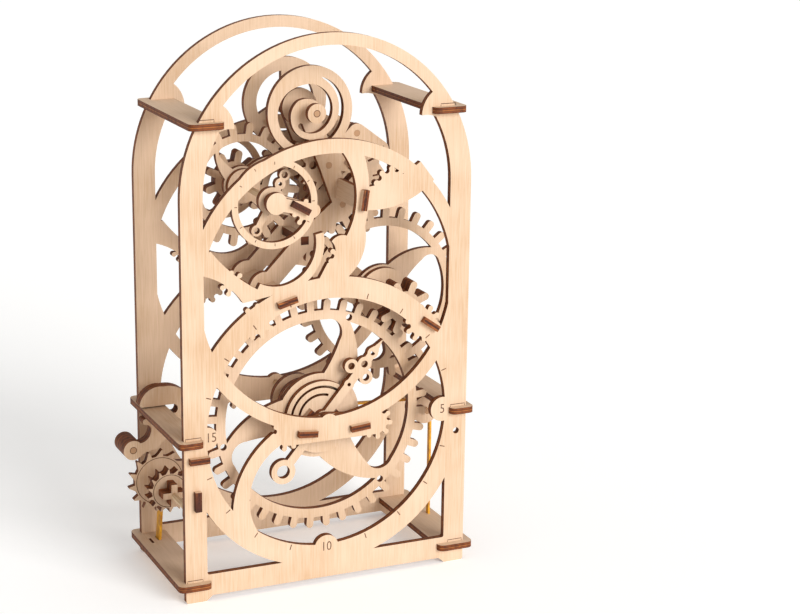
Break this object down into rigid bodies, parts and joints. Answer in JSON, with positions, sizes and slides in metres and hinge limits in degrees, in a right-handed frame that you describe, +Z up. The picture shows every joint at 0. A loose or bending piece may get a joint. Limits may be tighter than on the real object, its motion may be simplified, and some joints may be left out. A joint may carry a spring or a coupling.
{
  "type": "wooden mechanical puzzle model",
  "caption": "Arched plywood clockwork timer puzzle model with an exposed gear train, two hands, a balance wheel, side winding ratchet and rubber bands.",
  "frame": {"origin": "on the ground under the middle of the model", "axes": "+X to the right seen from the dial side, +Y from the dial side to the back, +Z up"},
  "size_m": [0.1691, 0.077, 0.26],
  "materials": {
    "plywood": "bare birch plywood with burnt laser-cut edges",
    "rod_wood": "plain round wooden rod",
    "band_rubber": "matt amber rubber band"
  },
  "bodies": {
    "frame": {"front_panel": "plywood", "back_panel": "plywood", "bottom_left_plate": "plywood", "bottom_right_plate": "plywood", "middle_left_bracket": "plywood", "middle_right_bracket": "plywood", "top_left_bracket": "plywood", "top_right_bracket": "plywood", "ring_beam": "plywood", "cage_beam": "plywood", "rail_peg": "plywood", "plate_pegs": "plywood", "cage_pillars": "plywood", "main_bearing_plate": "plywood", "seconds_bearing_plate": "plywood", "second_bearing_plate": "plywood", "winding_bearing_plate": "plywood", "cage_front_plate": "plywood", "cage_rear_plate": "plywood", "lever_pivot": "rod_wood", "pulley_pin": "rod_wood", "right_band": "band_rubber", "left_band": "band_rubber"},
    "dial_train": {"main_arbor": "rod_wood", "main_wheel": "plywood", "main_hub": "plywood", "spiral_clutch": "plywood", "clutch_pegs": "plywood", "band_drum": "plywood", "minute_hand": "plywood"},
    "second_train": {"second_arbor": "rod_wood", "second_pinion": "plywood", "second_wheel": "plywood", "second_hub": "plywood"},
    "third_train": {"third_arbor": "rod_wood", "third_pinion": "plywood", "third_wheel": "plywood"},
    "seconds_train": {"fourth_arbor": "rod_wood", "fourth_pinion": "plywood", "fourth_wheel": "plywood", "fourth_hub": "plywood", "seconds_hand": "plywood"},
    "escape_train": {"escape_arbor": "rod_wood", "escape_pinion": "plywood", "escape_wheel": "plywood"},
    "anchor": {"anchor_arbor": "rod_wood", "anchor_lever": "plywood"},
    "balance": {"balance_staff": "rod_wood", "balance_cap": "plywood", "balance_front_ring": "plywood", "balance_rear_ring": "plywood", "balance_roller": "plywood"},
    "winder": {"winding_arbor": "rod_wood", "click_wheel": "plywood", "ratchet_wheel": "plywood", "band_spool": "plywood"},
    "lever": {"release_lever": "plywood", "grip_discs": "plywood", "grip_pin": "rod_wood"},
    "pulley": {"band_pulley": "plywood"}
  },
  "joints": [
    {"name": "third_turn", "type": "hinge", "parent": "frame", "child": "third_train", "pos_m": [0.01807, 0, 0.1757], "axis": [0, 1, 0], "continuous": true},
    {"name": "dial_turn", "type": "hinge", "parent": "frame", "child": "dial_train", "pos_m": [0, 0, 0.079], "axis": [0, 1, 0], "continuous": true},
    {"name": "second_turn", "type": "hinge", "parent": "frame", "child": "second_train", "pos_m": [0.04277, 0, 0.12768], "axis": [0, 1, 0], "continuous": true},
    {"name": "seconds_turn", "type": "hinge", "parent": "frame", "child": "seconds_train", "pos_m": [-0.0255, 0, 0.185], "axis": [0, 1, 0], "continuous": true},
    {"name": "escape_turn", "type": "hinge", "parent": "frame", "child": "escape_train", "pos_m": [0.01101, 0, 0.19478], "axis": [0, 1, 0], "continuous": true},
    {"name": "balance_swing", "type": "hinge", "parent": "frame", "child": "balance", "pos_m": [0, 0, 0.2215], "axis": [0, 1, 0], "range_deg": [-15, 15]},
    {"name": "anchor_rock", "type": "hinge", "parent": "frame", "child": "anchor", "pos_m": [0.0251, 0, 0.2089], "axis": [0, 1, 0], "range_deg": [-4.5, 4.5]},
    {"name": "winding_turn", "type": "hinge", "parent": "frame", "child": "winder", "pos_m": [-0.066, 0, 0.0419], "axis": [0, 1, 0], "continuous": true},
    {"name": "lever_lift", "type": "hinge", "parent": "frame", "child": "lever", "pos_m": [-0.0635, 0, 0.067], "axis": [0, 1, 0], "range_deg": [0, 12]},
    {"name": "pulley_turn", "type": "hinge", "parent": "frame", "child": "pulley", "pos_m": [0.066, 0, 0.0668], "axis": [0, 1, 0], "continuous": true}
  ],
  "couplings": [
    {"joint": "second_turn", "follows": "third_turn", "ratio": -0.33333},
    {"joint": "dial_turn", "follows": "third_turn", "ratio": 0.066667},
    {"joint": "seconds_turn", "follows": "third_turn", "ratio": -2.6667},
    {"joint": "escape_turn", "follows": "third_turn", "ratio": 6.6667},
    {"joint": "anchor_rock", "follows": "balance_swing", "ratio": -0.27168}
  ]
}
